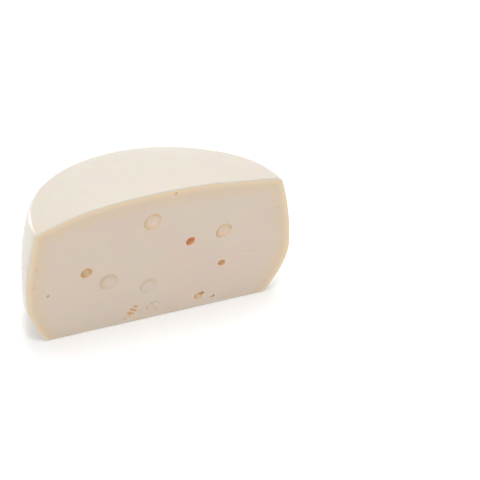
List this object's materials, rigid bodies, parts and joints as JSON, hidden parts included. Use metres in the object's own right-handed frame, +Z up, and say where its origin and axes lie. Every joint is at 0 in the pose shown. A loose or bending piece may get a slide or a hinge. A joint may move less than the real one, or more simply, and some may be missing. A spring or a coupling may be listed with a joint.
{
  "type": "half wheel of baby swiss cheese",
  "caption": "Half of a small, low, bulging cheese wheel with a domed top, cut straight through, with round eyes and pinholes showing in the flat cut face.",
  "frame": {"origin": "middle of the half's bounding box, on the flat foot that it rests on", "axes": "+X along the cut from its left end to its right end, seen from the cut side; the flat cut face looks along -Y; +Z up"},
  "size_m": [0.186, 0.0902, 0.0926],
  "materials": {
    "cheese": "smooth, faintly waxy cream rind and a satin, slightly moist cut face"
  },
  "bodies": {
    "root": {"cheese_half": "cheese"}
  },
  "joints": []
}
